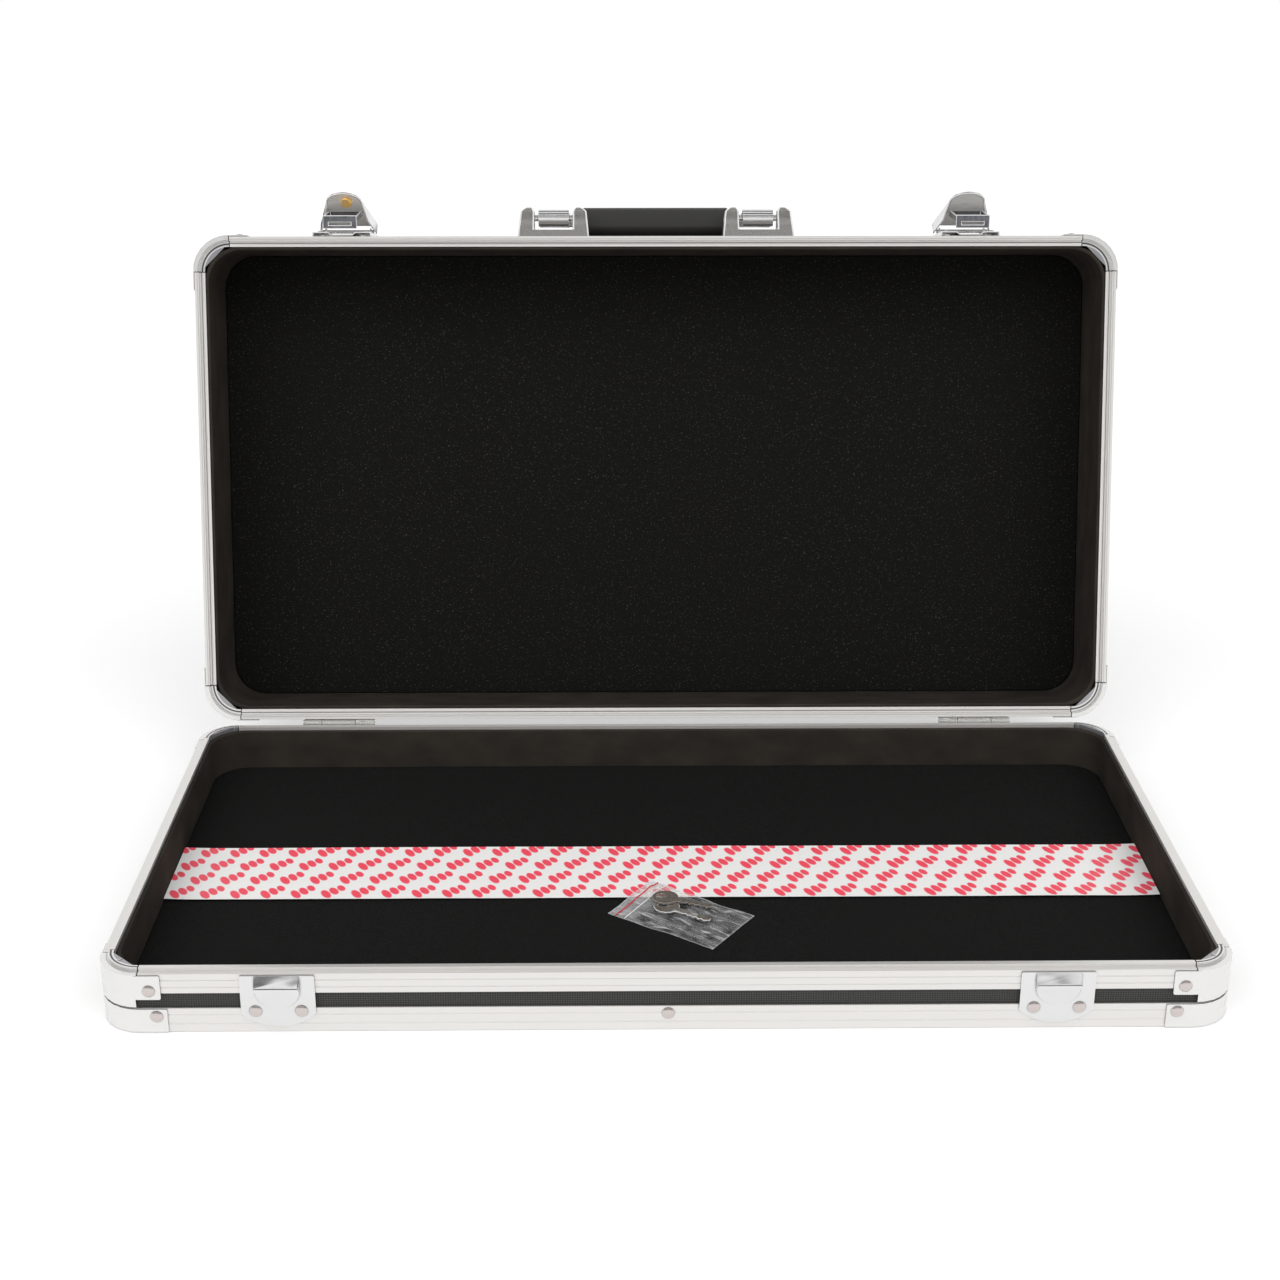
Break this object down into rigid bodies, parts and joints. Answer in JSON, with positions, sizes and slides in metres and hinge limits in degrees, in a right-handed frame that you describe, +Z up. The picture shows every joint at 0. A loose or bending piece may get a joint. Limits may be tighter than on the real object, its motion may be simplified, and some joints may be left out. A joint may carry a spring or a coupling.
{
  "type": "guitar pedal case",
  "caption": "Shallow tray and deeper lid in riveted aluminium rails, with hinges, draw latches, folding carry handle, foam linings, a tape strip and a bag of keys.",
  "frame": {"origin": "middle of the tray's underside", "axes": "+X along the hinges to the right, +Y from the latches to the hinges, +Z up; the lid stands open"},
  "size_m": [0.6904, 0.5406, 0.4238],
  "materials": {
    "black_skin": "fine-grained black laminate",
    "rail_aluminium": "brushed, clear anodised",
    "corner_sheet": "satin sheet",
    "latch_chrome": "bright plated steel",
    "hinge_chrome": "plated steel",
    "handle_chrome": "bright plate",
    "cast_zinc": "satin cast zinc",
    "grip_plastic": "satin black",
    "lock_brass": "bright",
    "floor_foam": "black loop-faced foam",
    "lid_foam": "black foam sheet",
    "dark_lining": "dark brown-black pile",
    "printed_liner": "white release liner with red print",
    "clear_film": "clear thin film",
    "key_steel": "plated key blank"
  },
  "bodies": {
    "base": {"tray_bottom_panel": "black_skin", "tray_side_walls": "black_skin", "tray_edge_frame": "rail_aluminium", "tray_rim_rail_front": "rail_aluminium", "tray_rim_rail_right": "rail_aluminium", "tray_rim_rail_back": "rail_aluminium", "tray_rim_rail_left": "rail_aluminium", "tray_rim_corner_front_left": "corner_sheet", "tray_rim_corner_front_right": "corner_sheet", "tray_rim_corner_back_left": "corner_sheet", "tray_rim_corner_back_right": "corner_sheet", "tray_edge_corner_front_left": "corner_sheet", "tray_edge_corner_front_right": "corner_sheet", "tray_edge_corner_back_left": "corner_sheet", "tray_edge_corner_back_right": "corner_sheet", "tray_side_lining": "dark_lining", "tray_floor_foam": "floor_foam", "catch_plate_left": "latch_chrome", "catch_plate_right": "latch_chrome", "tray_hinge_leaf_left": "hinge_chrome", "tray_hinge_leaf_right": "hinge_chrome", "hinge_pin_left": "hinge_chrome", "hinge_pin_right": "hinge_chrome", "tape_strip": "printed_liner", "key_bag": "clear_film", "key_lower": "key_steel", "key_upper": "key_steel"},
    "lid": {"lid_top_panel": "black_skin", "lid_side_walls": "black_skin", "lid_edge_frame": "rail_aluminium", "lid_rim_rail_front": "rail_aluminium", "lid_rim_rail_right": "rail_aluminium", "lid_rim_rail_back": "rail_aluminium", "lid_rim_rail_left": "rail_aluminium", "lid_rim_corner_front_left": "corner_sheet", "lid_rim_corner_front_right": "corner_sheet", "lid_rim_corner_back_left": "corner_sheet", "lid_rim_corner_back_right": "corner_sheet", "lid_edge_corner_front_left": "corner_sheet", "lid_edge_corner_front_right": "corner_sheet", "lid_edge_corner_back_left": "corner_sheet", "lid_edge_corner_back_right": "corner_sheet", "lid_side_lining": "dark_lining", "lid_foam_panel": "lid_foam", "lid_hinge_leaf_left": "hinge_chrome", "lid_hinge_leaf_right": "hinge_chrome", "handle_bracket_left": "cast_zinc", "handle_bracket_right": "cast_zinc", "handle_pin_left": "handle_chrome", "handle_pin_right": "handle_chrome", "latch_pan_left": "latch_chrome", "latch_pan_right": "latch_chrome"},
    "handle": {"handle_end_left": "handle_chrome", "handle_end_right": "handle_chrome", "handle_grip": "grip_plastic"},
    "lever_left": {"latch_lever_left": "latch_chrome"},
    "lever_right": {"latch_lever_right": "latch_chrome"},
    "claw_left": {"latch_claw_left": "latch_chrome"},
    "claw_right": {"latch_claw_right": "latch_chrome"},
    "lock": {"lever_lock": "lock_brass"}
  },
  "joints": [
    {"name": "lid_hinge", "type": "hinge", "parent": "base", "child": "lid", "pos_m": [0, 0.1848, 0.04], "axis": [1, 0, 0], "range_deg": [0, 104.8]},
    {"name": "handle_swing", "type": "hinge", "parent": "lid", "child": "handle", "pos_m": [0, 0.31659, 0.4006], "axis": [1, 0, 0], "range_deg": [0, 90]},
    {"name": "lever_left_swing", "type": "hinge", "parent": "lid", "child": "lever_left", "pos_m": [-0.2345, 0.32289, 0.38921], "axis": [1, 0, 0], "range_deg": [0, 28]},
    {"name": "lever_right_swing", "type": "hinge", "parent": "lid", "child": "lever_right", "pos_m": [0.2345, 0.32289, 0.38921], "axis": [1, 0, 0], "range_deg": [0, 28]},
    {"name": "claw_left_swing", "type": "hinge", "parent": "lever_left", "child": "claw_left", "pos_m": [-0.2345, 0.31052, 0.4053], "axis": [1, 0, 0], "range_deg": [-40, 0]},
    {"name": "claw_right_swing", "type": "hinge", "parent": "lever_right", "child": "claw_right", "pos_m": [0.2345, 0.31052, 0.4053], "axis": [1, 0, 0], "range_deg": [-40, 0]},
    {"name": "lock_turn", "type": "hinge", "parent": "lever_left", "child": "lock", "pos_m": [-0.2325, 0.30014, 0.41028], "axis": [0, 0.6794, 0.7337], "range_deg": [0, 90]}
  ],
  "couplings": [
    {"joint": "claw_left_swing", "follows": "lever_left_swing", "ratio": -1.4286},
    {"joint": "claw_right_swing", "follows": "lever_right_swing", "ratio": -1.4286}
  ]
}
